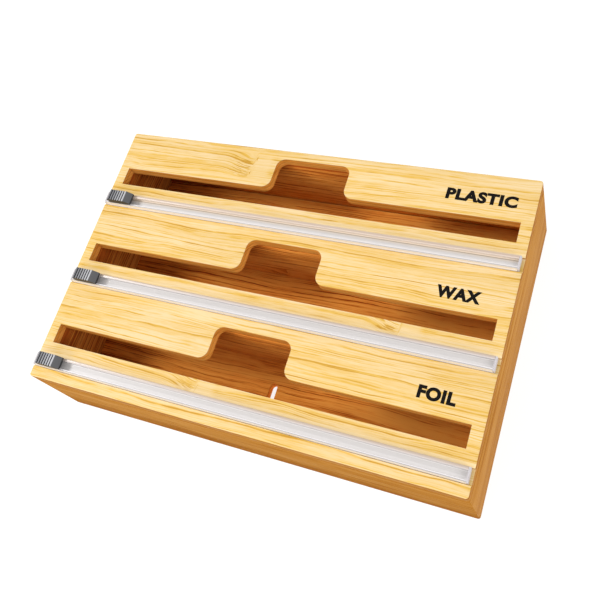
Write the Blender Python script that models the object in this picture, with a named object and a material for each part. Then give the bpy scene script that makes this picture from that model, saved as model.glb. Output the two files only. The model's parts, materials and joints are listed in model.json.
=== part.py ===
"""Kitchen wrap dispenser: a hinged bamboo box for three rolls, with a slide cutter in front of each slot.

Units are metres, +Z up. The origin is the centre of the box's underside, +X runs along the rolls and
+Y points to the hinge side. The rows, from front to back, are foil, wax and plastic.
"""

import math

import bmesh
import bpy

MM = 0.001

# Box, outside sizes without the lid
CASE_LENGTH = 330 * MM
CASE_DEPTH = 216.4 * MM
CASE_HEIGHT = 61.2 * MM
WALL = 8 * MM
CORNER_RADIUS = 2 * MM
JOINT_GAP = 0.3 * MM  # between boards that are glued or lie on each other

# Bottom board, let into the walls by a tongue
BOTTOM_THICKNESS = 7 * MM
TONGUE_DEPTH = 3 * MM
TONGUE_THICKNESS = 3 * MM
TONGUE_HEIGHT = 2 * MM

# Keyholes in the bottom board, for hanging the box on a wall
KEYHOLE_HEAD_RADIUS = 4.8 * MM
KEYHOLE_SLOT_WIDTH = 5.6 * MM
KEYHOLE_LENGTH = 14 * MM
KEYHOLE_OFFSET = -2.8 * MM  # head centre, from the middle of its compartment

# Compartments, counted from the middle one, and their dividers
ROWS = {"foil": -1, "wax": 0, "plastic": 1}
DIVIDER_THICKNESS = 9 * MM
DIVIDER_DROP = 0.5 * MM
DADO_DEPTH = 2 * MM

# Lid and its openings
LID_THICKNESS = 8 * MM
LID_EDGE_EASE = 0.6 * MM
SLOT_WIDTH = 15 * MM
SLOT_OFFSET = -2.3 * MM  # slot centre, from the middle of its compartment
NOTCH_WIDTH = 59.5 * MM
NOTCH_LAP = 0.6 * MM  # how far a notch runs past the back of its compartment
NOTCH_RADIUS = 7 * MM

# Cutter rail, taped into a shallow groove of the lid
RAIL_INSET = 0.45 * MM  # rail's front edge, from the front of its compartment
RAIL_WIDTH = 9.7 * MM
RAIL_HEIGHT = 4.5 * MM
RAIL_WALL = 1 * MM
RAIL_LIP_THICKNESS = 0.9 * MM
RAIL_FRONT_LIP = 1.7 * MM
RAIL_BACK_LIP = 2.2 * MM
RAIL_END_SETBACK = 1.8 * MM
GROOVE_DEPTH = 1.5 * MM
TAPE_THICKNESS = 0.3 * MM
TAPE_INSET = 0.8 * MM
PLUG_LENGTH = 2 * MM

# Slide cutter
RUN_GAP = 0.3 * MM
FOOT_LENGTH = 20 * MM
NECK_BACK = 5 * MM  # neck's ends, from the middle of the foot
NECK_FRONT = 3 * MM
NECK_SOCKET = 1.6 * MM  # how far the neck stands into the grip
PARK_GAP = 0.5 * MM
GRIP_WIDTH = 9 * MM
GRIP_BACK = 7.2 * MM  # grip's ends, from the middle of the foot
GRIP_FRONT = 13.2 * MM
GRIP_HEIGHT = 5.7 * MM
GRIP_LIFT = 0.4 * MM
NOSE_START = 8.1 * MM
NOSE_HEIGHT = 2.6 * MM
THROAT_START = 5 * MM
THROAT_RISE = 1 * MM
RIB_COUNT = 7
RIB_HEIGHT = 0.9 * MM
RIB_FLAT = 0.45  # share of a rib's pitch that is its flat top
BLADE_THICKNESS = 0.4 * MM
BLADE_LENGTH = 5.2 * MM
BLADE_RAKE = 2 * MM
BLADE_HEIGHT = 4.2 * MM

# Hinges, on the outside of the back
HINGE_FROM_END = 60 * MM
HINGE_LENGTH = 30 * MM
HINGE_LEAF = 6 * MM
LEAF_THICKNESS = 0.7 * MM
PIN_RADIUS = 0.75 * MM
PIN_HEAD_RADIUS = 1.2 * MM
PIN_HEAD = 0.6 * MM
PIN_CLEARANCE = 0.1 * MM
KNUCKLES = 5
ROLL_OPENING = math.radians(35)  # slit left where the rolled sheet ends
SCREW_X = 9 * MM  # hinge screws, from the middle of the hinge
SCREW_Z = 3.95 * MM
SCREW_LENGTH = 6.5 * MM
SCREW_RADIUS = 0.9 * MM
SCREW_HEAD_RADIUS = 1.45 * MM
SCREW_HEAD = 0.6 * MM
SCREW_TIP = 1.2 * MM
RECESS_SPAN = 1.7 * MM
RECESS_WIDTH = 0.4 * MM
RECESS_DEPTH = 0.4 * MM

# Closing magnets, let into the front wall and the lid
MAGNET_FROM_END = 25 * MM
MAGNET_RADIUS = 2.5 * MM
MAGNET_THICKNESS = 3 * MM
MAGNET_SINK = 0.2 * MM

# Worked out from the sizes above
INNER_LENGTH = CASE_LENGTH - 2 * WALL
INNER_DEPTH = CASE_DEPTH - 2 * WALL
ROW_PITCH = (INNER_DEPTH + DIVIDER_THICKNESS) / len(ROWS)
ROW_DEPTH = ROW_PITCH - DIVIDER_THICKNESS
LID_BOTTOM = CASE_HEIGHT + JOINT_GAP
LID_TOP = LID_BOTTOM + LID_THICKNESS
SLOT_LENGTH = INNER_LENGTH
NOTCH_DEPTH = ROW_DEPTH / 2 + NOTCH_LAP - SLOT_OFFSET - SLOT_WIDTH / 2
RAIL_LENGTH = CASE_LENGTH - 2 * RAIL_END_SETBACK
RAIL_BOTTOM = LID_TOP - GROOVE_DEPTH + 2 * JOINT_GAP + TAPE_THICKNESS
CHANNEL_TOP = RAIL_HEIGHT - RAIL_LIP_THICKNESS
FOOT_HALF_WIDTH = RAIL_WIDTH / 2 - RAIL_WALL - RUN_GAP
NECK_LOW_Y = -RAIL_WIDTH / 2 + RAIL_FRONT_LIP + RUN_GAP
NECK_HIGH_Y = RAIL_WIDTH / 2 - RAIL_BACK_LIP - RUN_GAP
NECK_MIDDLE_Y = (NECK_LOW_Y + NECK_HIGH_Y) / 2
GRIP_BOTTOM = RAIL_HEIGHT + GRIP_LIFT  # from the rail's underside, as the slider's other heights are
SLIDER_X = -RAIL_LENGTH / 2 + PLUG_LENGTH + PARK_GAP + FOOT_LENGTH / 2
KNUCKLE_RADIUS = PIN_RADIUS + PIN_CLEARANCE + LEAF_THICKNESS
HINGE_X = CASE_LENGTH / 2 - HINGE_FROM_END
HINGE_Y = CASE_DEPTH / 2 + JOINT_GAP + KNUCKLE_RADIUS
HINGE_Z = CASE_HEIGHT + JOINT_GAP / 2
LEAF_FACE_Y = HINGE_Y - PIN_RADIUS - PIN_CLEARANCE
MAGNET_X = CASE_LENGTH / 2 - MAGNET_FROM_END
MAGNET_Y = -CASE_DEPTH / 2 + WALL / 2

ARC_STEPS = 8
ROUND_SIDES = 24
OVERCUT = 1 * MM  # how far a cutter runs past the face it opens

# Colour, roughness and metallic value of each material
FINISHES = {
    "bamboo_lid": ((0.78, 0.58, 0.32), 0.55, 0.0),
    "bamboo_case": ((0.60, 0.36, 0.16), 0.55, 0.0),
    "rail_plastic": ((0.78, 0.77, 0.80), 0.25, 0.0),
    "grip_plastic": ((0.05, 0.05, 0.055), 0.45, 0.0),
    "blade_steel": ((0.70, 0.71, 0.72), 0.20, 1.0),
    "hinge_nickel": ((0.66, 0.64, 0.60), 0.30, 1.0),
    "magnet_nickel": ((0.60, 0.60, 0.61), 0.22, 1.0),
    "tape": ((0.82, 0.82, 0.80), 0.70, 0.0),
}


def clear_scene():
    for obj in list(bpy.data.objects):
        bpy.data.objects.remove(obj, do_unlink=True)


# Mesh building


def mesh_from(name, vertices, faces):
    mesh = bpy.data.meshes.new(name)
    mesh.from_pydata(vertices, [], faces)
    shape = bmesh.new()
    shape.from_mesh(mesh)
    bmesh.ops.recalc_face_normals(shape, faces=shape.faces)
    shape.to_mesh(mesh)
    shape.free()
    return mesh


def stack(name, loops):
    """A closed solid through loops that have the same number of points, capped at both ends."""
    count = len(loops[0])
    vertices = [point for loop in loops for point in loop]
    faces = [tuple(range(count)), tuple(range(len(vertices) - count, len(vertices)))]
    for level in range(len(loops) - 1):
        low = level * count
        high = low + count
        for i in range(count):
            j = (i + 1) % count
            faces.append((low + i, low + j, high + j, high + i))
    return mesh_from(name, vertices, faces)


def along_x(outline, x):
    return [(x, y, z) for y, z in outline]


def along_y(outline, y):
    return [(x, y, z) for x, z in outline]


def along_z(outline, z):
    return [(x, y, z) for x, y in outline]


def prism(name, outline, along, start, end):
    return stack(name, [along(outline, start), along(outline, end)])


def rectangle(low_u, high_u, low_v, high_v):
    return [(low_u, low_v), (high_u, low_v), (high_u, high_v), (low_u, high_v)]


def block(name, x, y, z):
    """A box from its three (low, high) pairs."""
    return prism(name, rectangle(*x, *y), along_z, *z)


def arc(centre, radius, start, end, steps=ARC_STEPS):
    """Points from one angle to another, in degrees, both ends included."""
    angles = [math.radians(start + (end - start) * i / steps) for i in range(steps + 1)]
    return [(centre[0] + radius * math.cos(a), centre[1] + radius * math.sin(a)) for a in angles]


def circle(radius, sides=ROUND_SIDES):
    return arc((0, 0), radius, 0, 360 - 360 / sides, sides - 1)


def rounded_rectangle(length, depth, radius):
    x = length / 2 - radius
    y = depth / 2 - radius
    corners = (((x, y), 0), ((-x, y), 90), ((-x, -y), 180), ((x, -y), 270))
    return [point for centre, start in corners for point in arc(centre, radius, start, start + 90)]


def lathe(name, profile, along, sides=ROUND_SIDES):
    """A turned solid from (place on the axis, radius) pairs."""
    return stack(name, [along(circle(radius, sides), place) for place, radius in profile])


# Objects


def finish(name, kind):
    colour, roughness, metallic = FINISHES[kind]
    made = bpy.data.materials.new(f"{name}_{kind}")
    made.use_nodes = True
    made.diffuse_color = (*colour, 1)
    shader = made.node_tree.nodes["Principled BSDF"]
    shader.inputs["Base Color"].default_value = (*colour, 1)
    shader.inputs["Roughness"].default_value = roughness
    shader.inputs["Metallic"].default_value = metallic
    return made


def world_place(obj):
    """The world position of an object whose parents are only moved, never turned."""
    place = obj.location.copy()
    while obj.parent:
        obj = obj.parent
        place += obj.location
    return place


def attach(obj, world, parent):
    obj.parent = parent
    obj.location = world
    if parent:
        obj.location -= world_place(parent)


def new_object(name, mesh, kind=None, place=(0, 0, 0), parent=None, turn=0, smooth=False):
    """Links a mesh at a world position; turn is its angle about Z in radians."""
    obj = bpy.data.objects.new(name, mesh)
    bpy.context.collection.objects.link(obj)
    attach(obj, place, parent)
    obj.rotation_euler.z = turn
    if kind:
        obj.data.materials.append(finish(name, kind))
    if smooth:
        mesh.shade_smooth()
        mesh.set_sharp_from_angle(angle=math.radians(35))
    return obj


def joint_empty(name, place, parent=None):
    empty = bpy.data.objects.new(name, None)
    empty.empty_display_size = 10 * MM
    bpy.context.collection.objects.link(empty)
    attach(empty, place, parent)
    return empty


def combine(obj, mesh, operation):
    """Adds a Boolean with a helper made from the mesh, which is given in the object's own frame."""
    helper = bpy.data.objects.new(f"{obj.name}_{operation.lower()}_{len(obj.modifiers)}", mesh)
    bpy.context.collection.objects.link(helper)
    helper.parent = obj.parent
    helper.location = obj.location
    helper.rotation_euler = obj.rotation_euler
    helper.hide_render = True
    helper.display_type = "WIRE"
    modifier = obj.modifiers.new(helper.name, "BOOLEAN")
    modifier.operation = operation
    modifier.solver = "EXACT"
    modifier.object = helper


def cut(obj, mesh):
    combine(obj, mesh, "DIFFERENCE")


def join(obj, mesh):
    combine(obj, mesh, "UNION")


def shift(mesh, x=0, y=0, z=0):
    for vertex in mesh.vertices:
        vertex.co += type(vertex.co)((x, y, z))
    return mesh


# Box


def wall_outline(length):
    """Plan of a mitred wall: its outer face at y = 0, its outer corners rounded."""
    half = length / 2
    setback = JOINT_GAP / math.sqrt(2)
    stop = -45 - math.degrees(math.asin(setback / (math.sqrt(2) * CORNER_RADIUS)))
    corner = arc((half - CORNER_RADIUS, CORNER_RADIUS), CORNER_RADIUS, -90, stop)
    right = [*corner, (half - WALL - setback, WALL)]
    return right + [(-x, y) for x, y in reversed(right)]


def build_wall(name, length, place, turn):
    board = prism(name, wall_outline(length), along_z, 0, CASE_HEIGHT)
    wall = new_object(name, board, "bamboo_case", place, None, turn)
    groove_y = (WALL - TONGUE_DEPTH - JOINT_GAP, WALL + OVERCUT)
    groove_z = (TONGUE_HEIGHT - JOINT_GAP, TONGUE_HEIGHT + TONGUE_THICKNESS + JOINT_GAP)
    cut(wall, block(f"{name}_groove", (-length, length), groove_y, groove_z))
    return wall


def cut_dados(wall):
    """The upright grooves that hold the dividers' ends."""
    half = DIVIDER_THICKNESS / 2 + JOINT_GAP
    for side in (-1, 1):
        middle = side * ROW_PITCH / 2
        dado_y = (WALL - DADO_DEPTH - JOINT_GAP, WALL + OVERCUT)
        dado_z = (BOTTOM_THICKNESS, CASE_HEIGHT + OVERCUT)
        cut(wall, block(f"{wall.name}_dado", (middle - half, middle + half), dado_y, dado_z))


def cut_screw_holes(board, surface_y, inward, z):
    """Blind holes in the back edge of a board, given in its own frame, for the screws of both hinges."""
    for hinge in (-1, 1):
        for screw in (-1, 1):
            depth = SCREW_LENGTH - LEAF_THICKNESS
            ends = (surface_y - inward * OVERCUT, surface_y + inward * depth)
            hole = prism("screw_hole", circle(SCREW_RADIUS + JOINT_GAP, 16), along_y, *ends)
            cut(board, shift(hole, x=hinge * HINGE_X + screw * SCREW_X, z=z))


def build_walls():
    quarter = math.pi / 2
    front = build_wall("front_wall", CASE_LENGTH, (0, -CASE_DEPTH / 2, 0), 0)
    back = build_wall("back_wall", CASE_LENGTH, (0, CASE_DEPTH / 2, 0), 2 * quarter)
    for name, side in (("left_wall", -1), ("right_wall", 1)):
        cut_dados(build_wall(name, CASE_DEPTH, (side * CASE_LENGTH / 2, 0, 0), side * quarter))
    cut_screw_holes(back, 0, 1, HINGE_Z - SCREW_Z)
    for side in (-1, 1):
        top = (CASE_HEIGHT - MAGNET_SINK - MAGNET_THICKNESS - JOINT_GAP, CASE_HEIGHT + OVERCUT)
        bore = prism("magnet_bore", circle(MAGNET_RADIUS + JOINT_GAP), along_z, *top)
        cut(front, shift(bore, x=side * MAGNET_X, y=WALL / 2))


def keyhole_outline():
    """A round head with a narrower slot that runs towards the back, centred on the head."""
    half = KEYHOLE_SLOT_WIDTH / 2
    opening = math.degrees(math.acos(half / KEYHOLE_HEAD_RADIUS))
    head = arc((0, 0), KEYHOLE_HEAD_RADIUS, 180 - opening, 360 + opening, 2 * ARC_STEPS)
    end = arc((0, KEYHOLE_LENGTH), half, 0, 180)
    return head + end


def build_bottom():
    def ring(grow, z):
        x = INNER_LENGTH / 2 - JOINT_GAP + grow
        y = INNER_DEPTH / 2 - JOINT_GAP + grow
        return along_z(rectangle(-x, x, -y, y), z)

    tongue_top = TONGUE_HEIGHT + TONGUE_THICKNESS
    levels = (
        (0, 0),
        (0, TONGUE_HEIGHT),
        (TONGUE_DEPTH, TONGUE_HEIGHT),
        (TONGUE_DEPTH, tongue_top),
        (0, tongue_top),
        (0, BOTTOM_THICKNESS),
    )
    board = stack("bottom_panel", [ring(*level) for level in levels])
    bottom = new_object("bottom_panel", board, "bamboo_case")
    for name in ("foil", "plastic"):
        keyhole = prism("keyhole", keyhole_outline(), along_z, -OVERCUT, BOTTOM_THICKNESS + OVERCUT)
        cut(bottom, shift(keyhole, y=ROWS[name] * ROW_PITCH + KEYHOLE_OFFSET))


def build_dividers():
    half_length = INNER_LENGTH / 2 + DADO_DEPTH
    half = DIVIDER_THICKNESS / 2
    heights = (BOTTOM_THICKNESS + JOINT_GAP, CASE_HEIGHT - DIVIDER_DROP)
    for name, side in (("divider_front", -1), ("divider_rear", 1)):
        mesh = block(name, (-half_length, half_length), (-half, half), heights)
        new_object(name, mesh, "bamboo_case", (0, side * ROW_PITCH / 2, 0))


# Lid


def slot_outline():
    """Film slot with its finger notch: a long rectangle, and a round-cornered bay in its back edge."""
    x = SLOT_LENGTH / 2
    y = SLOT_WIDTH / 2
    bay = NOTCH_WIDTH / 2
    top = y + NOTCH_DEPTH
    r = NOTCH_RADIUS
    right = [
        (x, -y),
        (x, y),
        *arc((bay + r, y + r), r, 270, 180),
        *arc((bay - r, top - r), r, 0, 90),
    ]
    return right + [(-u, v) for u, v in reversed(right)]


def slot_y(row):
    return ROWS[row] * ROW_PITCH + SLOT_OFFSET


def rail_y(row):
    return ROWS[row] * ROW_PITCH - ROW_DEPTH / 2 + RAIL_INSET + RAIL_WIDTH / 2


def lid_loops():
    """Level outlines of the lid, its long edges rounded over."""
    steps = 3

    def loop(inset, z):
        radius = CORNER_RADIUS - inset
        return along_z(rounded_rectangle(CASE_LENGTH - 2 * inset, CASE_DEPTH - 2 * inset, radius), z)

    curve = [math.pi / 2 * i / steps for i in range(steps + 1)]
    insets = [(LID_EDGE_EASE * (1 - math.cos(a)), LID_EDGE_EASE * (1 - math.sin(a))) for a in curve]
    low = [loop(inset, drop) for inset, drop in reversed(insets)]
    high = [loop(inset, LID_THICKNESS - drop) for inset, drop in insets]
    return low + high


def build_lid(pivot):
    lid = new_object("lid_panel", stack("lid_panel", lid_loops()), "bamboo_lid", (0, 0, LID_BOTTOM), pivot)
    for row in ROWS:
        slot = prism("slot", slot_outline(), along_z, -OVERCUT, LID_THICKNESS + OVERCUT)
        cut(lid, shift(slot, y=slot_y(row)))
        half = RAIL_WIDTH / 2 + JOINT_GAP
        groove_z = (LID_THICKNESS - GROOVE_DEPTH, LID_THICKNESS + OVERCUT)
        groove = block("groove", (-CASE_LENGTH, CASE_LENGTH), (-half, half), groove_z)
        cut(lid, shift(groove, y=rail_y(row)))
    cut_screw_holes(lid, CASE_DEPTH / 2, -1, HINGE_Z + SCREW_Z - LID_BOTTOM)
    for side in (-1, 1):
        depth = MAGNET_SINK + MAGNET_THICKNESS + JOINT_GAP
        bore = prism("magnet_bore", circle(MAGNET_RADIUS + JOINT_GAP), along_z, -OVERCUT, depth)
        cut(lid, shift(bore, x=side * MAGNET_X, y=MAGNET_Y))


def build_magnets(pivot):
    for side, word in ((-1, "left"), (1, "right")):
        for name, low, parent in (
            (f"case_magnet_{word}", CASE_HEIGHT - MAGNET_SINK - MAGNET_THICKNESS, None),
            (f"lid_magnet_{word}", LID_BOTTOM + MAGNET_SINK, pivot),
        ):
            mesh = prism(name, circle(MAGNET_RADIUS), along_z, 0, MAGNET_THICKNESS)
            new_object(name, mesh, "magnet_nickel", (side * MAGNET_X, MAGNET_Y, low), parent, smooth=True)


# Cutter rails


def rail_outline():
    """Section of the rail: a channel with an inward lip on each wall."""
    half = RAIL_WIDTH / 2
    inner = half - RAIL_WALL
    return [
        (-half, 0),
        (half, 0),
        (half, RAIL_HEIGHT),
        (half - RAIL_BACK_LIP, RAIL_HEIGHT),
        (half - RAIL_BACK_LIP, CHANNEL_TOP),
        (inner, CHANNEL_TOP),
        (inner, RAIL_WALL),
        (-inner, RAIL_WALL),
        (-inner, CHANNEL_TOP),
        (-half + RAIL_FRONT_LIP, CHANNEL_TOP),
        (-half + RAIL_FRONT_LIP, RAIL_HEIGHT),
        (-half, RAIL_HEIGHT),
    ]


def tee_outline(top):
    """Section of what fills the channel: wide below the lips, narrow between them up to the top."""
    low = RAIL_WALL + RUN_GAP
    shoulder = CHANNEL_TOP - RUN_GAP
    return [
        (-FOOT_HALF_WIDTH, low),
        (FOOT_HALF_WIDTH, low),
        (FOOT_HALF_WIDTH, shoulder),
        (NECK_HIGH_Y, shoulder),
        (NECK_HIGH_Y, top),
        (NECK_LOW_Y, top),
        (NECK_LOW_Y, shoulder),
        (-FOOT_HALF_WIDTH, shoulder),
    ]


def build_rail(row, pivot):
    half = RAIL_LENGTH / 2
    place = (0, rail_y(row), RAIL_BOTTOM)
    name = f"cutter_rail_{row}"
    new_object(name, prism(name, rail_outline(), along_x, -half, half), "rail_plastic", place, pivot)
    name = f"rail_tape_{row}"
    tape_y = RAIL_WIDTH / 2 - TAPE_INSET
    tape_z = (-JOINT_GAP - TAPE_THICKNESS, -JOINT_GAP)
    tape = block(name, (TAPE_INSET - half, half - TAPE_INSET), (-tape_y, tape_y), tape_z)
    new_object(name, tape, "tape", place, pivot)
    for word, start in (("left", -half), ("right", half - PLUG_LENGTH)):
        name = f"rail_plug_{word}_{row}"
        plug = prism(name, tee_outline(RAIL_HEIGHT), along_x, start, start + PLUG_LENGTH)
        new_object(name, plug, "rail_plastic", place, pivot)


# Slide cutters


def grip_outline():
    """Side view of the grip: a ribbed thumb pad at the back, and a nose that slopes down to the front."""
    base = GRIP_BOTTOM
    root = base + GRIP_HEIGHT - RIB_HEIGHT
    crest = base + GRIP_HEIGHT
    pitch = (GRIP_BACK + NOSE_START) / RIB_COUNT
    outline = [
        (-GRIP_BACK, base),
        (THROAT_START, base),
        (GRIP_FRONT, base + THROAT_RISE),
        (GRIP_FRONT, base + NOSE_HEIGHT),
        (NOSE_START, crest),
    ]
    for i in range(RIB_COUNT):
        rib_end = NOSE_START - i * pitch
        flat = RIB_FLAT * pitch
        flank = (pitch - flat) / 3
        if i > 0:
            outline.append((rib_end - flank, crest))
        outline.append((rib_end - flank - flat, crest))
        outline.append((rib_end - 2 * flank - flat, root))
        if i < RIB_COUNT - 1:
            outline.append((rib_end - pitch, root))
    outline.append((-GRIP_BACK, root))
    return outline


def blade_outline():
    """Side view of the blade: a raked edge to the front, its lower corner inside the channel."""
    back = NECK_FRONT + RUN_GAP
    low = CHANNEL_TOP
    return [
        (back, low),
        (back + BLADE_LENGTH - BLADE_RAKE, low),
        (back + BLADE_LENGTH, low + BLADE_HEIGHT),
        (back, low + BLADE_HEIGHT),
    ]


def build_foot(row, place, carriage):
    """The runner in the channel, with the neck that stands up into the grip."""
    name = f"slider_foot_{row}"
    low = RAIL_WALL + RUN_GAP
    shoulder = CHANNEL_TOP - RUN_GAP
    half = FOOT_LENGTH / 2
    wide = rectangle(-half, half, -FOOT_HALF_WIDTH, FOOT_HALF_WIDTH)
    narrow = rectangle(-NECK_BACK, NECK_FRONT, NECK_LOW_Y, NECK_HIGH_Y)
    levels = ((wide, low), (wide, shoulder), (narrow, shoulder), (narrow, GRIP_BOTTOM + NECK_SOCKET))
    mesh = stack(name, [along_z(outline, z) for outline, z in levels])
    new_object(name, mesh, "grip_plastic", place, carriage)


def build_grip(row, place, carriage):
    name = f"slider_grip_{row}"
    half = GRIP_WIDTH / 2
    mesh = prism(name, grip_outline(), along_y, -half, half)
    grip = new_object(name, mesh, "grip_plastic", place, carriage)
    socket_x = (-NECK_BACK - RUN_GAP, NECK_FRONT + RUN_GAP)
    socket_y = (NECK_LOW_Y - RUN_GAP, NECK_HIGH_Y + RUN_GAP)
    socket_z = (GRIP_BOTTOM - OVERCUT, GRIP_BOTTOM + NECK_SOCKET + RUN_GAP)
    cut(grip, block("socket", socket_x, socket_y, socket_z))
    slit_x = (NECK_FRONT, NECK_FRONT + BLADE_LENGTH + 2 * RUN_GAP)
    slit_half = BLADE_THICKNESS / 2 + RUN_GAP
    slit_y = (NECK_MIDDLE_Y - slit_half, NECK_MIDDLE_Y + slit_half)
    slit_z = (GRIP_BOTTOM - OVERCUT, CHANNEL_TOP + BLADE_HEIGHT + RUN_GAP)
    cut(grip, block("blade_slit", slit_x, slit_y, slit_z))


def build_slider(row, pivot):
    place = (SLIDER_X, rail_y(row), RAIL_BOTTOM)
    carriage = joint_empty(f"slider_axis_{row}", place, pivot)
    build_foot(row, place, carriage)
    build_grip(row, place, carriage)
    name = f"slider_blade_{row}"
    half = BLADE_THICKNESS / 2
    blade = prism(name, blade_outline(), along_y, NECK_MIDDLE_Y - half, NECK_MIDDLE_Y + half)
    new_object(name, blade, "blade_steel", place, carriage)


# Hinges


def knuckle_outline(side):
    """Section of a rolled knuckle and its tail, about the pin; side is 1 where the leaf stands above it."""
    inner = PIN_RADIUS + PIN_CLEARANCE
    outer = KNUCKLE_RADIUS
    stop = -180 + math.degrees(ROLL_OPENING)
    tail = KNUCKLE_RADIUS + 2 * JOINT_GAP
    outline = [
        (-outer, -tail),
        *arc((0, 0), outer, 180, stop, 2 * ARC_STEPS),
        *arc((0, 0), inner, stop, 180, 2 * ARC_STEPS),
        (-inner, -tail),
    ]
    return [(y, -side * z) for y, z in outline]


def build_leaf(name, hinge_x, side, positions, parent):
    """A hinge leaf: a plate with two countersunk holes, and a rolled knuckle at each given position."""
    start = side * (KNUCKLE_RADIUS + JOINT_GAP)
    plate_z = sorted((start, side * HINGE_LEAF))
    plate_y = (-KNUCKLE_RADIUS, LEAF_FACE_Y - HINGE_Y)
    half = HINGE_LENGTH / 2
    plate = block(name, (-half, half), plate_y, plate_z)
    leaf = new_object(name, plate, "hinge_nickel", (hinge_x, HINGE_Y, HINGE_Z), parent)
    pitch = (HINGE_LENGTH + JOINT_GAP) / KNUCKLES
    for position in positions:
        low = position * pitch - half
        join(leaf, prism("knuckle", knuckle_outline(side), along_x, low, low + pitch - JOINT_GAP))
    for screw in (-1, 1):
        slope = SCREW_HEAD_RADIUS - SCREW_RADIUS
        past = JOINT_GAP / SCREW_HEAD * slope
        profile = (
            (-LEAF_THICKNESS - JOINT_GAP, SCREW_RADIUS + JOINT_GAP),
            (-SCREW_HEAD, SCREW_RADIUS + JOINT_GAP),
            (JOINT_GAP, SCREW_HEAD_RADIUS + JOINT_GAP + past),
        )
        hole = lathe("screw_hole", profile, along_y, 16)
        cut(leaf, shift(hole, x=screw * SCREW_X, y=LEAF_FACE_Y - HINGE_Y, z=side * SCREW_Z))


def screw_mesh():
    """A countersunk wood screw along Y, its head's face at y = 0, with a cross recess cut in."""
    tip_radius = 0.2 * SCREW_RADIUS
    profile = (
        (-SCREW_LENGTH, tip_radius),
        (-SCREW_LENGTH + SCREW_TIP, SCREW_RADIUS),
        (-SCREW_HEAD, SCREW_RADIUS),
        (0, SCREW_HEAD_RADIUS),
    )
    model = new_object("screw_model", lathe("screw", profile, along_y, 16))
    span = RECESS_SPAN / 2
    arm = RECESS_WIDTH / 2
    cross = [
        (span, -arm), (span, arm), (arm, arm), (arm, span), (-arm, span), (-arm, arm),
        (-span, arm), (-span, -arm), (-arm, -arm), (-arm, -span), (arm, -span), (arm, -arm),
    ]
    cut(model, prism("recess", cross, along_y, -RECESS_DEPTH, OVERCUT))
    bpy.context.view_layer.update()
    graph = bpy.context.evaluated_depsgraph_get()
    made = bpy.data.meshes.new_from_object(model.evaluated_get(graph))
    helper = model.modifiers[0].object
    bpy.data.objects.remove(model)
    bpy.data.objects.remove(helper)
    made.shade_smooth()
    made.set_sharp_from_angle(angle=math.radians(35))
    made.materials.append(finish("hinge_screw", "hinge_nickel"))
    return made


def build_hinges(pivot):
    screw = screw_mesh()
    for hinge, word in ((-1, "left"), (1, "right")):
        x = hinge * HINGE_X
        build_leaf(f"hinge_leaf_case_{word}", x, -1, (0, 2, 4), None)
        build_leaf(f"hinge_leaf_lid_{word}", x, 1, (1, 3), pivot)
        end = HINGE_LENGTH / 2 + JOINT_GAP
        profile = (
            (-end - PIN_HEAD, PIN_RADIUS),
            (-end - PIN_HEAD / 2, PIN_HEAD_RADIUS),
            (-end, PIN_HEAD_RADIUS),
            (-end, PIN_RADIUS),
            (end, PIN_RADIUS),
            (end, PIN_HEAD_RADIUS),
            (end + PIN_HEAD / 2, PIN_HEAD_RADIUS),
            (end + PIN_HEAD, PIN_RADIUS),
        )
        pin = lathe(f"hinge_pin_{word}", profile, along_x, 16)
        new_object(pin.name, pin, "hinge_nickel", (x, HINGE_Y, HINGE_Z), smooth=True)
        for board, side, parent in (("case", -1, None), ("lid", 1, pivot)):
            for place, offset in (("outer", hinge), ("inner", -hinge)):
                name = f"hinge_screw_{board}_{word}_{place}"
                spot = (x + offset * SCREW_X, LEAF_FACE_Y, HINGE_Z + side * SCREW_Z)
                new_object(name, screw, None, spot, parent)


def main():
    clear_scene()
    build_bottom()
    build_walls()
    build_dividers()
    pivot = joint_empty("lid_axis", (0, HINGE_Y, HINGE_Z))
    build_lid(pivot)
    build_magnets(pivot)
    for row in ROWS:
        build_rail(row, pivot)
        build_slider(row, pivot)
    build_hinges(pivot)


main()
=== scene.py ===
"""Looks of the kitchen wrap dispenser: bamboo boards, milky rails, black cutters and nickel hinges."""

import json
import math

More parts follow.
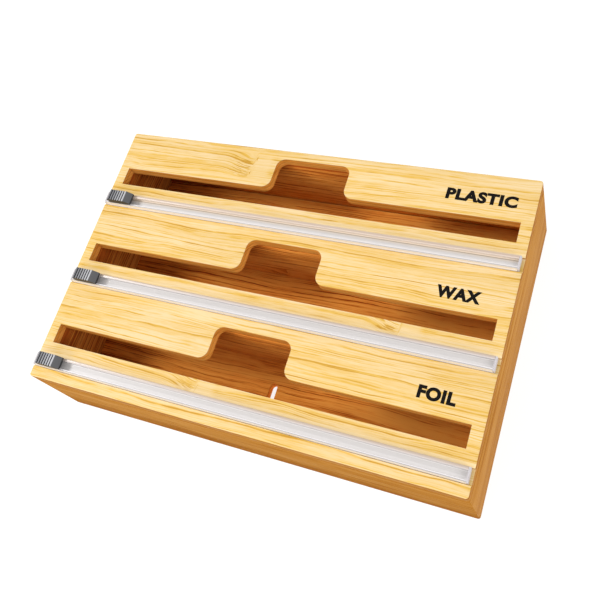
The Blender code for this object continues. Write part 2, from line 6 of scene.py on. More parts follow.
import bmesh
import bpy
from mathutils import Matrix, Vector

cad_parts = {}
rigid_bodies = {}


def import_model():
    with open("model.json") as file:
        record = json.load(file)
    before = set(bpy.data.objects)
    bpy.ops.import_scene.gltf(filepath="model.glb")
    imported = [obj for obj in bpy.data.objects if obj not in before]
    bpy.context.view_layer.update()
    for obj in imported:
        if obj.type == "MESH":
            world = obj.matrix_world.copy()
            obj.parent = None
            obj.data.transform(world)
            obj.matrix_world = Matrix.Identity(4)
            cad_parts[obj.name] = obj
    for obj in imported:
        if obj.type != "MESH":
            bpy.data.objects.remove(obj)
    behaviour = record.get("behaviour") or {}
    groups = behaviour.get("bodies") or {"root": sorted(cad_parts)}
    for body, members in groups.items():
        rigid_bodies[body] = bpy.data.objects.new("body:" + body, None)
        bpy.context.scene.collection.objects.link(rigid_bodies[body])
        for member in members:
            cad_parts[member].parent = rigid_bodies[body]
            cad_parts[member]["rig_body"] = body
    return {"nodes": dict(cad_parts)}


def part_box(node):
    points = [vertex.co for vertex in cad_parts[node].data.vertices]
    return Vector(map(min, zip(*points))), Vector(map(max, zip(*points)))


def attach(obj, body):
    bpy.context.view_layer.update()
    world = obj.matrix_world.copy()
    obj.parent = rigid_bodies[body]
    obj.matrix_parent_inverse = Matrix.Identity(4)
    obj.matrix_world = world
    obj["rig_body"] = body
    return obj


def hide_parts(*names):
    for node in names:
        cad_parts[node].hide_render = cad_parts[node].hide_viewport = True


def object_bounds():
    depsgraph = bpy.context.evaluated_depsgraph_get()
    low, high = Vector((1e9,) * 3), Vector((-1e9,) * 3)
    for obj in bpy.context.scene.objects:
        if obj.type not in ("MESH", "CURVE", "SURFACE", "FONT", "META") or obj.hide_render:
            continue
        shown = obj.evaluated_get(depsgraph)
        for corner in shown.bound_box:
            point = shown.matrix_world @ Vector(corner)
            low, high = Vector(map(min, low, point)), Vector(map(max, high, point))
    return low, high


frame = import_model()
cad_low, cad_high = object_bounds()

MM = 0.001
ROWS = ("foil", "wax", "plastic")
LEFT_RIGHT = ("left", "right")

# Places read from the frame
LID_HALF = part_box("lid_panel")[1]  # the lid's corner, from the middle of the box
LID_TOP = LID_HALF.z
INNER_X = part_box("right_wall")[0].x
INNER_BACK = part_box("back_wall")[0].y
WALL_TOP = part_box("back_wall")[1].z

# Meshes: what counts as one point, as one flat face and as a sharp edge
SAME_POINT = 0.001 * MM
FLAT = math.radians(0.5)
SHARP = math.radians(50)

# Rounding of edges
BEVEL_SEGMENTS = 3
LID_EASE = 0.25 * MM
CASE_EASE = 0.35 * MM
PLASTIC_EASE = 0.16 * MM
GRIP_EASE = 0.22 * MM
METAL_EASE = 0.08 * MM
MAGNET_EASE = 0.2 * MM
TAPE_EASE = 0.05 * MM
BLADE_EASE = 0.03 * MM
MITRE_CLOSING = 0.19 * MM  # how far a wall's ends move out, to close the glue line
MITRE_REACH = 0.6 * MM  # how near to a corner's diagonal a point of the mitre lies

# Rail section, as the CAD rail's, with a groove along its front lip and a bevel on its back lip
RAIL_WALL = 1 * MM
RAIL_LIP = 0.9 * MM
RAIL_FRONT_LIP = 1.7 * MM
RAIL_BACK_LIP = 2.2 * MM
RAIL_BEVEL = 0.3 * MM
RAIL_GROOVE_FROM_EDGE = 0.85 * MM
RAIL_GROOVE_HALF_WIDTH = 0.22 * MM
RAIL_GROOVE_DEPTH = 0.3 * MM
END_CAP = 1.4 * MM

# Grip: the plain block beyond its ribs, with the nose
GRIP_BLOCK = 4.9 * MM

# Colours across a rail, at shares of its width: on its lips, and on the web between them; besides the
# plastic's colours they hold painted highlights and painted shade
MILKY = (0.590, 0.565, 0.552)
# Painted highlight: a thin white line along the web just in front of the back lip
PAINTED_HIGHLIGHT = (0.760, 0.735, 0.725)
# Wood seen through the plastic, lightened by a painted highlight
WARM = (0.800, 0.680, 0.560)
# Across the front lip: the wood through its front face, painted shade in its groove, then its pale top
FRONT_LIP = (
    (0.00, (0.680, 0.590, 0.460)),
    (0.06, (0.450, 0.400, 0.360)),
    (0.09, (0.290, 0.265, 0.275)),
    (0.12, (0.660, 0.630, 0.625)),
    (0.17, (0.750, 0.715, 0.715)),
)
PLAIN_BACK_LIP = (
    (0.775, (0.580, 0.525, 0.500)),
    (0.82, (0.505, 0.435, 0.400)),
    (0.90, (0.435, 0.350, 0.290)),
    (0.98, (0.410, 0.315, 0.230)),
)
WARM_BACK_LIP = (
    (0.775, (0.700, 0.580, 0.480)),
    (0.82, (0.500, 0.385, 0.310)),
    (0.90, (0.430, 0.330, 0.260)),
    (0.98, (0.520, 0.410, 0.305)),
)
# Across the web: a painted highlight just behind the front lip, which also paints out the lip's shadow,
# fading to the milky plastic
WEB = ((0.17, (0.830, 0.795, 0.785)), (0.40, (0.715, 0.690, 0.680)), (0.50, MILKY))
WOOD_BELOW = (0.390, 0.320, 0.245)
WEB_BACK = {
    "foil": ((0.715, MILKY), (0.735, PAINTED_HIGHLIGHT), (0.765, PAINTED_HIGHLIGHT), (0.785, MILKY)),
    "wax": ((0.75, MILKY), (0.77, PAINTED_HIGHLIGHT), (0.80, PAINTED_HIGHLIGHT), (0.82, MILKY)),
    "plastic": (
        (0.66, (0.610, 0.545, 0.480)),
        (0.70, WOOD_BELOW),
        (0.735, WOOD_BELOW),
        (0.77, WARM),
        (0.89, WARM),
    ),
}

# Words on the lid: middle (x, y) and width in mm
LABELS = {"plastic": (127.5, 89.1, 48.8), "wax": (129.0, 16.5, 29.5), "foil": (131.9, -52.3, 24.8)}
LABEL_HEIGHT = 8.9 * MM
LABEL_SIZE = 11 * MM
LABEL_WEIGHT = 0.6 * MM
LABEL_SPACING = 1.10
LABEL_THICKNESS = 0.03 * MM
LABEL_TILT = math.radians(-1.2)

# Camera: place, turn in degrees about X, Y and Z, and lens
CAMERA_PLACE = (0.23947, -0.18142, 0.57239)
CAMERA_TURN = (27.297, 18.559, 19.489)
LENS = 49.55
SENSOR = 36
SHIFT = (0.0545, -0.0742)
NEAREST = 0.01

# Light: place in metres, size in metres and power in watts of each lamp, which points at the box
LAMPS = {
    "key": ((-1.20, -0.25, 1.30), 0.5, 17.0),
    "front": ((-0.45, -1.1, 0.8), 1.2, 6.0),
    "fill": ((1.2, -0.3, 0.7), 1.0, 8.5),
}
LAMP_TARGET = Vector((0, 0, 0.03))
SKY = 0.75

# Floor: half its size in metres, its colour and how much light it gives
FLOOR_REACH = 4.0
FLOOR_DROP = 0.2 * MM  # so that it and the box's underside share no plane
PAPER = (0.20, 0.20, 0.20)
PAPER_GLOW = 0.85


# Shader trees


class Value:
    """A number that varies over the surface. Sums and products of these add Math nodes."""

    def __init__(self, tree, socket):
        self.tree = tree
        self.socket = socket

    def __add__(self, other):
        return self.tree.math("ADD", self, other)

    def __sub__(self, other):
        return self.tree.math("SUBTRACT", self, other)

    def __rsub__(self, other):
        return self.tree.math("SUBTRACT", other, self)

    def __mul__(self, other):
        return self.tree.math("MULTIPLY", self, other)

    def __truediv__(self, other):
        return self.tree.math("DIVIDE", self, other)

    def __abs__(self):
        return self.tree.math("ABSOLUTE", self)

    def floor(self):
        return self.tree.math("FLOOR", self)

    def fraction(self):
        return self.tree.math("FRACT", self)

    def or_more(self, other):
        return self.tree.math("MAXIMUM", self, other)


class Tree:
    """A material's node tree, with short calls for adding and linking nodes."""

    def __init__(self, name):
        self.material = bpy.data.materials.new(name)
        self.material.use_nodes = True
        self.nodes = self.material.node_tree.nodes
        self.links = self.material.node_tree.links
        self.shader = self.nodes["Principled BSDF"]

    def put(self, value, socket):
        if isinstance(value, Value):
            self.links.new(value.socket, socket)
        elif isinstance(value, tuple) and len(value) == 3 and socket.type == "RGBA":
            socket.default_value = (*value, 1)
        else:
            socket.default_value = value

    def add(self, kind, inputs, output=0, **settings):
        node = self.nodes.new(f"ShaderNode{kind}")
        for key, value in settings.items():
            setattr(node, key, value)
        for key, value in inputs.items():
            self.put(value, node.inputs[key])
        return Value(self, node.outputs[output])

    def math(self, operation, *terms):
        return self.add("Math", dict(enumerate(terms)), operation=operation)

    def split(self, vector):
        node = self.nodes.new("ShaderNodeSeparateXYZ")
        self.put(vector, node.inputs[0])
        return [Value(self, socket) for socket in node.outputs]

    def place(self):
        """The surface point in the row frame, in metres, as x, y and z."""
        return self.split(self.add("TexCoord", {}, "Object"))

    def facing(self):
        """The surface's direction in the row frame, as x, y and z."""
        return self.split(self.add("TexCoord", {}, "Normal"))

    def noise(self, point, detail=2.0, roughness=0.5):
        """Smooth random numbers, mostly 0.3 to 0.7; the point's own scale sets the size of the patches."""
        vector = self.add("CombineXYZ", dict(enumerate(point)))
        sockets = {"Vector": vector, "Scale": 1.0, "Detail": detail, "Roughness": roughness}
        return self.add("TexNoise", sockets)

    def random(self, value):
        """A random number from 0 to 1 that stays the same for the same value."""
        return self.add("TexWhiteNoise", {"W": value}, noise_dimensions="1D")

    def between(self, value, low, high, start=0.0, stop=1.0):
        """Maps low..high to start..stop smoothly, held at both ends."""
        sockets = {"Value": value, "From Min": low, "From Max": high, "To Min": start, "To Max": stop}
        return self.add("MapRange", sockets, interpolation_type="SMOOTHSTEP")

    def band(self, value, middle, half_width, soft):
        """1 within half_width of the middle, falling to 0 over a soft edge."""
        return self.between(abs(value - middle), half_width, half_width + soft, 1.0, 0.0)

    def mix(self, amount, a, b):
        """Colour a where the amount is 0 and b where it is 1. A Mix node takes them on sockets 6 and 7."""
        return self.add("Mix", {0: amount, 6: a, 7: b}, 2, data_type="RGBA")

    def ramp(self, value, stops):
        """Colours at values: stops are (value, colour), in rising order."""
        node = self.nodes.new("ShaderNodeValToRGB")
        self.put(value, node.inputs[0])
        elements = node.color_ramp.elements
        elements[0].position = stops[0][0]
        elements[1].position = stops[-1][0]
        for position, _ in stops[1:-1]:
            elements.new(position)
        for element, (_, colour) in zip(elements, stops, strict=True):
            element.color = (*colour, 1)
        return Value(self, node.outputs[0])

    def bump(self, height, distance):
        self.set(Normal=self.add("Bump", {"Height": height, "Distance": distance, "Strength": 1.0}))

    def set(self, **sockets):
        for key, value in sockets.items():
            self.put(value, self.shader.inputs[key.replace("_", " ")])


# Bamboo

# Colours of the wood from its palest fibres to its darkest, and the tones at which they stand
LID_TONES = ((0.720, 0.545, 0.300), (0.680, 0.475, 0.195), (0.640, 0.395, 0.080), (0.490, 0.260, 0.040))
# Painted light: EDGE_TONES, INSIDE_TONES and FLOOR_TONES are paler copies of the case's colours, for the
# slot edges, the inside of the case and its floor, where less light reaches
EDGE_TONES = ((0.740, 0.350, 0.075), (0.690, 0.290, 0.052), (0.550, 0.205, 0.028), (0.340, 0.105, 0.012))
CASE_TONES = ((0.490, 0.240, 0.060), (0.430, 0.188, 0.032), (0.355, 0.130, 0.012), (0.225, 0.066, 0.004))
INSIDE_TONES = ((0.840, 0.400, 0.090), (0.770, 0.315, 0.058), (0.600, 0.195, 0.028), (0.310, 0.064, 0.008))
FLOOR_TONES = ((0.900, 0.390, 0.070), (0.820, 0.290, 0.044), (0.600, 0.165, 0.020), (0.290, 0.050, 0.006))
TONE_STOPS = (0.0, 0.30, 0.64, 1.0)
BEHIND_RAIL = (0.900, 0.720, 0.430)  # light thrown back by a rail onto the wood behind it
GLUE_LINE = (0.34, 0.14, 0.035)

# Lines in the grain: period across it and length along it (mm), half width in periods, and darkness
GRAIN_LINES = ((8.7, 70, 0.19, 0.22), (5.3, 60, 0.10, 0.50), (2.7, 45, 0.15, 0.36), (1.5, 30, 0.22, 0.24))
LINE_JITTER = 0.6  # how widely lines stray about the middles of their periods, in periods

# Joints in the cane, as (x, y) on the lid and (x, z) on the lengthwise walls, in mm
LID_KNUCKLES = ((-50, 92), (-31, -86), (96, -13))
WALL_KNUCKLES = ((-17, 50),)

# Depths of the lid's glue lines below its face
UPPER_GLUE = 0.45 * MM
LOWER_GLUE = 3.9 * MM

# Sheen of the lacquer
SATIN = 0.01
MATT = 0.001
LAYER_SKEW = 1.3  # how fast the grain changes with depth, so that a board's faces differ


def dip(tree, along, across, place):
    """How far the grain bends aside before a joint in the cane."""
    ahead = along - place[0] * MM
    near = tree.between(abs(across - place[1] * MM), 5 * MM, 14 * MM, 1, 0)
    before = tree.between(ahead, -26 * MM, 2 * MM) * tree.between(ahead, 1 * MM, 3 * MM, 1, 0)
    return before * near * (6 * MM)


def knuckle(tree, along, across, place):
    """The mark of a joint in the cane: a fan of short dark strokes, a thin ring, then pale wood."""
    ahead = along - place[0] * MM
    aside = across - place[1] * MM
    near = tree.between(abs(aside), 6 * MM, 12 * MM, 1, 0)
    strokes = tree.noise((ahead / (9 * MM), aside / (0.8 * MM), place[0]), 2)
    fan = tree.between(strokes, 0.50, 0.60) * tree.between(ahead, -22 * MM, -6 * MM)
    fan = fan * tree.between(ahead, -2 * MM, 0.5 * MM, 1, 0)
    wander = tree.noise((aside / (3 * MM), place[1], 0.0), 1) - 0.5
    ring = tree.band(ahead - aside * 0.25 - wander * (3 * MM), 1.5 * MM, 0.15 * MM, 0.4 * MM)
    ring = ring * tree.between(tree.noise((aside / (4 * MM), place[0], 3.0), 1), 0.45, 0.60)
    pale = tree.band(ahead, 9 * MM, 4 * MM, 6 * MM) * near
    return (fan * 0.8 + ring * 0.8) * near, pale


def grain(tree, along, across, seed, knuckles):
    """How dark the wood is, from about 0 to 1, and the height of its fine fibres."""
    wave = tree.noise((along / (105 * MM), across / (26 * MM), seed)) - 0.5
    ripple = tree.noise((along / (17 * MM), across / (5 * MM), seed + 5)) - 0.5
    bent = across + wave * (9 * MM) + ripple * (1.2 * MM)
    for place in knuckles:
        bent = bent + dip(tree, along, across, place)

    def lines(period, length, width, key):
        """Lines along the grain. Each has a random number, which sets its place and where it fades out."""
        cell = bent / period + key
        number = cell.floor()
        own = tree.random(number + key)
        off = abs(cell.fraction() - 0.5 - (own - 0.5) * LINE_JITTER)
        strength = tree.noise((along / length + own * 37, number * 3.7, key), 3, 0.6)
        return tree.between(off, width * 0.6, width, 1, 0) * tree.between(strength, 0.40, 0.55)

    fibres = tree.noise((along / (18 * MM), bent / (0.7 * MM), seed), 3, 0.65)
    broad = tree.noise((along / (120 * MM), bent / (13 * MM), seed + 9), 3)
    tone = broad * 1.1 - 0.42 + (fibres - 0.5) * 0.6
    for key, (period, length, width, darkness) in enumerate(GRAIN_LINES, 1):
        tone = tone + lines(period * MM, length * MM, width, seed + key) * darkness
    for place in knuckles:
        marks, pale = knuckle(tree, along, bent, place)
        tone = tone * (1 - pale * 0.55) + marks
    return tone, fibres


def wood(tree, tone, tones):
    """The colour of wood of a tone, between the palest and the darkest of the tones."""
    return tree.ramp(tone, tuple(zip(TONE_STOPS, tones, strict=True)))


def wood_surface(tree, colour, tone, fibres, sheen):
    """Sanded and lacquered: dark lines sunk a little, fibres raised."""
    tree.bump(fibres * 0.6 - tone * 0.8, 0.05 * MM)
    roughness = tree.between(fibres, 0.3, 0.7, 0.60, 0.48)
    tree.set(Base_Color=colour, Roughness=roughness, Specular_IOR_Level=sheen)
    return tree.material


def lid_bamboo():
    """Three layers: the pale top face, and the darker layers below it on the edges and in the slots."""
    tree = Tree("bamboo_lid")
    x, y, z = tree.place()
    tone, fibres = grain(tree, x, y + z * LAYER_SKEW - LID_TOP * LAYER_SKEW, 4.0, LID_KNUCKLES)
    face = wood(tree, tone, LID_TONES)
    for row in ROWS:
        rail_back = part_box(f"cutter_rail_{row}")[1].y
        glow = tree.band(y, rail_back + 1 * MM, 1.2 * MM, 1.8 * MM)
        face = tree.mix(glow * 0.55, face, BEHIND_RAIL)
    down = LID_TOP - z
    glue = tree.band(down, UPPER_GLUE, 0.1 * MM, 0.3 * MM)
    glue = glue.or_more(tree.band(down, LOWER_GLUE, 0.05 * MM, 0.35 * MM))
    layered = tone * 0.8 + tree.between(down, LOWER_GLUE - 0.1 * MM, LOWER_GLUE + 0.1 * MM, 0.30, 0.05)
    # Painted light: the slot edges take EDGE_TONES, paler than the case's tones on the lid's outer edges
    outside = tree.between(abs(x), LID_HALF.x - 1 * MM, LID_HALF.x - 0.7 * MM)
    outside = outside.or_more(tree.between(abs(y), LID_HALF.y - 1 * MM, LID_HALF.y - 0.7 * MM))
    core = tree.mix(outside, wood(tree, layered, EDGE_TONES), wood(tree, layered, CASE_TONES))
    core = tree.mix(glue * 0.75, core, GLUE_LINE)
    level = abs(tree.facing()[2])
    on_edge = tree.between(level, 0.35, 0.75, 1, 0) * tree.between(down, 0.15 * MM, 0.4 * MM)
    return wood_surface(tree, tree.mix(on_edge, face, core), tone, fibres, SATIN)


def shade_inside(tree, x, z):
    """Painted shade and light inside the case: darker at the rim, high up and towards the left, and paler
    lower down and towards the right.
    """
    down = WALL_TOP - z
    rim = tree.between(down, 0.3 * MM, 0.7 * MM, 0.35, 0)
    high_up = tree.between(down, 4 * MM, 34 * MM, 0.34, -0.10)
    left = tree.between(x, -150 * MM, -60 * MM, 0.30, 0)
    right = tree.between(x, 40 * MM, 120 * MM, 0, -0.30)
    return rim + high_up + left + right


def wall_bamboo(name, axes, seed, low_shade, inside, sheen, knuckles=()):
    """
    Boards of the case, redder and, as painted light, paler inside it than on its outside, where they are
    also darker low down.

    The axes are those along the grain, across it and into the board. The inner faces that look to the back
    are as pale as the lid, to throw more light into the case: painted light.
    """
    tree = Tree(name)
    place = tree.place()
    x, y, z = place
    along, across, deep = (place[axis] for axis in axes)
    tone, fibres = grain(tree, along, across + deep * LAYER_SKEW, seed, knuckles)
    margin = 0.6 * MM
    within_x = tree.between(abs(x), INNER_X + margin, INNER_X + 2 * margin, 1, 0)
    within_y = tree.between(abs(y), INNER_BACK + margin, INNER_BACK + 2 * margin, 1, 0)
    outer = wood(tree, tone + tree.between(z, 0.0, 30 * MM, low_shade, 0), CASE_TONES)
    # Inside: paler tones as painted light, with the painted shade and light of shade_inside
    inner = wood(tree, tone * 1.1 + shade_inside(tree, x, z), inside)
    # Painted light: the inner faces that look to the back are as pale as the lid, to throw more light into
    # the case
    looks_back = tree.between(tree.facing()[1], 0.4, 0.6)
    inner = tree.mix(looks_back, inner, wood(tree, tone, LID_TONES))
    return wood_surface(tree, tree.mix(within_x * within_y, outer, inner), tone, fibres, sheen)


# Plastic and metal


def rail_plastic(row):
    """Milky extrusion: the wood shows through its thin outer edges, and it is drawn along the rail. Its
    colours across the rail also hold painted highlights and painted shade.
    """
    tree = Tree(f"rail_plastic_{row}")
    x, y, z = tree.place()
    low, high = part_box(f"cutter_rail_{row}")
    share = (y - low.y) / (high.y - low.y)
    drawn = tree.noise((x / (60 * MM), y / (0.5 * MM), z / (0.5 * MM)), 3)
    on_lip = tree.between(z, high.z - RAIL_LIP - 0.3 * MM, high.z - RAIL_LIP - 0.1 * MM)
    back_lip = WARM_BACK_LIP if row == "plastic" else PLAIN_BACK_LIP
    colour = tree.mix(on_lip, tree.ramp(share, WEB + WEB_BACK[row]), tree.ramp(share, FRONT_LIP + back_lip))
    looks_back = tree.between(tree.facing()[1], 0.4, 0.7)
    colour = tree.mix(looks_back, colour, MILKY)
    colour = tree.mix(tree.between(drawn, 0.35, 0.65, 0, 0.12), colour, (0.54, 0.51, 0.52))
    tree.bump(drawn, 0.02 * MM)
    roughness = tree.between(drawn, 0.3, 0.7, 0.24, 0.34)
    tree.set(Base_Color=colour, Roughness=roughness, Specular_IOR_Level=0.45)
    return tree.material


def grip_plastic(row):
    """Charcoal moulding, with a painted highlight on the tops of its ribs that grows towards the block, and
    painted shade in the gaps between the ribs and on the block's sides.
    """
    tree = Tree(f"grip_plastic_{row}")
    x, y, z = tree.place()
    low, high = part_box(f"slider_grip_{row}")
    speckle = tree.noise((x / (0.3 * MM), y / (0.3 * MM), z / (0.3 * MM)))
    # Painted highlight on the tops of the ribs, brighter towards the block; painted shade, near black, in
    # the gaps between them
    crest = tree.between(high.z - z, 0.15 * MM, 0.55 * MM, 1, 0)
    along = tree.between(x, low.x, high.x - 6 * MM)
    crest_highlight = tree.mix(along, (0.13, 0.13, 0.14), (0.46, 0.46, 0.48))
    ribs = tree.mix(crest, (0.012, 0.012, 0.013), crest_highlight)
    # Painted shade: the block's sides are darker than its top
    looks_up = tree.between(tree.facing()[2], 0.35, 0.7)
    block = tree.mix(looks_up, (0.022, 0.022, 0.024), (0.085, 0.085, 0.088))
    on_ribs = tree.between(high.x - x, GRIP_BLOCK, GRIP_BLOCK + 0.3 * MM)
    colour = tree.mix(on_ribs, block, ribs)
    colour = tree.mix(tree.between(speckle, 0.4, 0.6, 0, 0.25), colour, (0.05, 0.05, 0.055))
    tree.bump(speckle, 0.015 * MM)
    roughness = tree.between(speckle, 0.3, 0.7, 0.42, 0.55)
    tree.set(Base_Color=colour, Roughness=roughness, Specular_IOR_Level=0.35)
    return tree.material


def metal(name, colour, rough, brushing):
    """Plated or ground metal; brushing is the size of its scratches along x, y and z, in mm."""
    tree = Tree(name)
    brushed = tree.noise([axis / (size * MM) for axis, size in zip(tree.place(), brushing, strict=True)])
    tree.set(Base_Color=tree.ramp(brushed, ((0.3, tuple(0.94 * c for c in colour)), (0.7, colour))))
    tree.set(Roughness=tree.between(brushed, 0.3, 0.7, rough - 0.03, rough + 0.04), Metallic=1.0)
    return tree.material


def grainy(name, dark, light, size, rough, sheen=0.4):
    """A plain material with fine, uneven colour, its specks of a size in mm."""
    tree = Tree(name)
    cells = tree.noise([axis / (size * MM) for axis in tree.place()], 3)
    tree.set(Base_Color=tree.ramp(cells, ((0.3, dark), (0.7, light))))
    tree.set(Roughness=tree.between(cells, 0.3, 0.7, rough - 0.05, rough + 0.05), Specular_IOR_Level=sheen)
    tree.bump(cells, 0.02 * MM)
    return tree.material


# Pieces


def tidy_mesh(node):
    """A copy of a CAD solid's mesh with its flat faces whole again."""
    mesh = frame["nodes"][node].data.copy()
    shape = bmesh.new()
    shape.from_mesh(mesh)
    bmesh.ops.remove_doubles(shape, verts=shape.verts, dist=SAME_POINT)
    bmesh.ops.dissolve_limit(shape, angle_limit=FLAT, verts=shape.verts, edges=shape.edges)
    shape.to_mesh(mesh)
    shape.free()
    return mesh


def on_mitre(edge):
    """Whether an edge lies on a mitre, the diagonal through one of the box's corners."""
    start, end = (vertex.co for vertex in edge.verts)
    if start.x * end.x < 0 or start.y * end.y < 0:
        return False
    longer = cad_high.x + cad_low.y  # half the length less half the depth
    return all(abs(longer - abs(point.x) + abs(point.y)) < MITRE_REACH for point in (start, end))


def ease_edges(mesh, skip=None):
    """Marks the sharp edges for the Bevel modifier, but not those that skip picks out."""
    shape = bmesh.new()
    shape.from_mesh(mesh)
    weight = shape.edges.layers.float.new("bevel_weight_edge")
    for edge in shape.edges:
        if edge.is_manifold and edge.calc_face_angle() > SHARP and not (skip and skip(edge)):
            edge[weight] = 1.0
    shape.to_mesh(mesh)
    shape.free()


def make_piece(mesh, node, material, ease, skip=None):
    """An object in a CAD node's place, on its body, its sharp edges rounded over."""
    name = f"{node}_shaped"
    ease_edges(mesh, skip)
    mesh.name = name
    mesh.shade_smooth()
    mesh.materials.clear()
    mesh.materials.append(material)
    piece = bpy.data.objects.new(name, mesh)
    bpy.context.scene.collection.objects.link(piece)
    bevel = piece.modifiers.new("ease", "BEVEL")
    bevel.width = ease
    bevel.segments = BEVEL_SEGMENTS
    bevel.limit_method = "WEIGHT"
    bevel.use_clamp_overlap = True
    bevel.harden_normals = True
    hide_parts(node)
    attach(piece, frame["nodes"][node]["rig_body"])


def shaped(node, material, ease):
    """A CAD solid's own shape, its edges eased."""
    make_piece(tidy_mesh(node), node, material, ease)


def wall(node, material, axis=None):
    """A board of the case. A mitred wall's ends move out along its axis, so that the corners close."""
    mesh = tidy_mesh(node)
    mitred = axis is not None
    if mitred:
        half = max(abs(vertex.co[axis]) for vertex in mesh.vertices)
        for vertex in mesh.vertices:
            vertex.co[axis] *= 1 + MITRE_CLOSING / half
    make_piece(mesh, node, material, CASE_EASE, on_mitre if mitred else None)


def along_x(name, outline, start, end):
    """A mesh with one section, given as (y, z) points, from start to end along X."""
    shape = bmesh.new()
    ends = [[shape.verts.new((x, y, z)) for y, z in outline] for x in (start, end)]
    count = len(outline)
    for i in range(count):
        j = (i + 1) % count
        shape.faces.new((ends[0][i], ends[0][j], ends[1][j], ends[1][i]))
    for end_loop in ends:
        shape.faces.new(end_loop)
    bmesh.ops.recalc_face_normals(shape, faces=shape.faces)
    mesh = bpy.data.meshes.new(name)
    shape.to_mesh(mesh)
    shape.free()
    return mesh


def rail_outline(low, high):
    """The channel's section: a grooved lip at the front and a bevelled lip at the back."""
    groove = low.y + RAIL_GROOVE_FROM_EDGE
    under_lip = high.z - RAIL_LIP
    return [
        (low.y, low.z),
        (high.y, low.z),
        (high.y, high.z),
        (high.y - RAIL_BACK_LIP + RAIL_BEVEL, high.z),
        (high.y - RAIL_BACK_LIP, high.z - RAIL_BEVEL),
        (high.y - RAIL_BACK_LIP, under_lip),
        (high.y - RAIL_WALL, under_lip),
        (high.y - RAIL_WALL, low.z + RAIL_WALL),
        (low.y + RAIL_WALL, low.z + RAIL_WALL),
        (low.y + RAIL_WALL, under_lip),
        (low.y + RAIL_FRONT_LIP, under_lip),
        (low.y + RAIL_FRONT_LIP, high.z),
        (groove + RAIL_GROOVE_HALF_WIDTH, high.z),
        (groove, high.z - RAIL_GROOVE_DEPTH),
        (groove - RAIL_GROOVE_HALF_WIDTH, high.z),
        (low.y, high.z),
    ]


def rail(row, material, cap_plastic):
    """A rail between its two end plugs."""
    node = f"cutter_rail_{row}"
    low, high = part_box(node)
    mesh = along_x(node, rail_outline(low, high), low.x + END_CAP, high.x - END_CAP)
    make_piece(mesh, node, material, PLASTIC_EASE)
    section = [(low.y, low.z), (high.y, low.z), (high.y, high.z), (low.y, high.z)]
    for side, start, end in (("left", low.x, low.x + END_CAP), ("right", high.x - END_CAP, high.x)):
        node = f"rail_plug_{side}_{row}"
        mesh = along_x(node, section, start, end)
        make_piece(mesh, node, cap_plastic, 2 * PLASTIC_EASE)


def boards():
    """The lid and the case."""
    shaped("lid_panel", lid_bamboo(), LID_EASE)
    lengthwise = wall_bamboo("bamboo_lengthwise", (0, 2, 1), 11.0, 0.42, INSIDE_TONES, MATT, WALL_KNUCKLES)
    crosswise = wall_bamboo("bamboo_crosswise", (1, 2, 0), 17.0, 0.08, INSIDE_TONES, SATIN)
    floorwise = wall_bamboo("bamboo_floor", (0, 1, 2), 23.0, 0.0, FLOOR_TONES, MATT)
    for name in ("front_wall", "back_wall"):
        wall(name, lengthwise, 0)
    for name in ("left_wall", "right_wall"):
        wall(name, crosswise, 1)
    for name in ("divider_front", "divider_rear"):
        wall(name, lengthwise)
    wall("bottom_panel", floorwise)


def cutters():
    """The rails with their tape and plugs, and the slide cutters."""
    foam = grainy("tape", (0.62, 0.62, 0.60), (0.82, 0.82, 0.80), 0.45, 0.8)
    cap_plastic = grainy("cap_plastic", (0.46, 0.43, 0.44), (0.52, 0.49, 0.50), 0.6, 0.3)
    black = grainy("foot_plastic", (0.020, 0.020, 0.022), (0.045, 0.045, 0.048), 0.3, 0.45)
    steel = metal("blade_steel", (0.70, 0.71, 0.72), 0.22, (0.3, 0.3, 8))
    for row in ROWS:
        rail(row, rail_plastic(row), cap_plastic)
        shaped(f"rail_tape_{row}", foam, TAPE_EASE)
        shaped(f"slider_foot_{row}", black, PLASTIC_EASE)
        shaped(f"slider_grip_{row}", grip_plastic(row), GRIP_EASE)
        shaped(f"slider_blade_{row}", steel, BLADE_EASE)


def fittings():
    """The hinges with their screws, and the magnets."""
    nickel = metal("hinge_nickel", (0.66, 0.64, 0.60), 0.30, (12, 0.4, 0.4))
    bright = metal("magnet_nickel", (0.60, 0.60, 0.61), 0.18, (0.5, 0.5, 9))
    for side in LEFT_RIGHT:
        for board in ("case", "lid"):
            shaped(f"hinge_leaf_{board}_{side}", nickel, METAL_EASE)
            shaped(f"{board}_magnet_{side}", bright, MAGNET_EASE)
            for spot in ("outer", "inner"):
                shaped(f"hinge_screw_{board}_{side}_{spot}", nickel, METAL_EASE)
        shaped(f"hinge_pin_{side}", nickel, METAL_EASE)


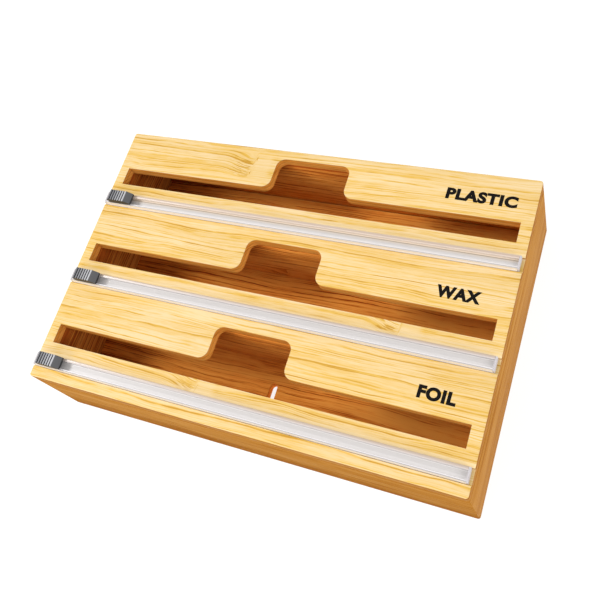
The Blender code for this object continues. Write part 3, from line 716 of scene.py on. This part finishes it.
def labels():
    """One plain word beside each slot, for what its compartment holds."""
    ink = grainy("label_ink", (0.004, 0.003, 0.003), (0.010, 0.009, 0.008), 1.1, 0.7, 0.05)
    for row, (x, y, width) in LABELS.items():
        text = bpy.data.curves.new(f"label_{row}", "FONT")
        text.body = row.upper()
        text.size = LABEL_SIZE
        text.align_x = "CENTER"
        text.align_y = "CENTER"
        text.offset = LABEL_WEIGHT
        text.space_character = LABEL_SPACING
        text.extrude = LABEL_THICKNESS
        text.materials.append(ink)
        label = bpy.data.objects.new(f"label_{row}", text)
        bpy.context.scene.collection.objects.link(label)
        bpy.context.view_layer.update()
        label.scale = (width * MM / label.dimensions.x, LABEL_HEIGHT / label.dimensions.y, 1)
        label.location = (x * MM, y * MM, LID_TOP + LABEL_THICKNESS)
        label.rotation_euler.z = LABEL_TILT
        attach(label, "lid")


# Studio


def floor():
    """White paper that gives some light itself, so that the shadow on it stays faint."""
    mesh = bpy.data.meshes.new("floor")
    corners = [(x * FLOOR_REACH, y * FLOOR_REACH, 0) for x, y in ((-1, -1), (1, -1), (1, 1), (-1, 1))]
    mesh.from_pydata(corners, [], [(0, 1, 2, 3)])
    paper = bpy.data.objects.new("floor", mesh)
    paper.location.z = -FLOOR_DROP
    bpy.context.scene.collection.objects.link(paper)
    tree = Tree("floor_paper")
    tree.set(Base_Color=PAPER, Roughness=0.9, Specular_IOR_Level=0.1)
    tree.set(Emission_Color=(1.0, 1.0, 1.0), Emission_Strength=PAPER_GLOW)
    mesh.materials.append(tree.material)


def lights():
    """A bright white surround and three soft lamps."""
    world = bpy.data.worlds.new("studio")
    bpy.context.scene.world = world
    world.use_nodes = True
    background = world.node_tree.nodes["Background"]
    background.inputs["Color"].default_value = (1, 1, 1, 1)
    background.inputs["Strength"].default_value = SKY

    for name, (place, size, power) in LAMPS.items():
        lamp = bpy.data.lights.new(name, "AREA")
        lamp.shape = "DISK"
        lamp.size = size
        lamp.energy = power
        light = bpy.data.objects.new(name, lamp)
        light.location = place
        light.rotation_euler = (LAMP_TARGET - light.location).to_track_quat("-Z", "Y").to_euler()
        bpy.context.scene.collection.objects.link(light)


def camera():
    """The view from the front right, well above the box."""
    lens = bpy.data.cameras.new("camera")
    lens.lens = LENS
    lens.sensor_width = SENSOR
    lens.shift_x, lens.shift_y = SHIFT
    lens.clip_start = NEAREST
    view = bpy.data.objects.new("camera", lens)
    bpy.context.scene.collection.objects.link(view)
    view.location = CAMERA_PLACE
    view.rotation_euler = [math.radians(angle) for angle in CAMERA_TURN]
    bpy.context.scene.camera = view


boards()
cutters()
fittings()
labels()
floor()
lights()
camera()
bpy.context.scene.view_settings.view_transform = "Standard"
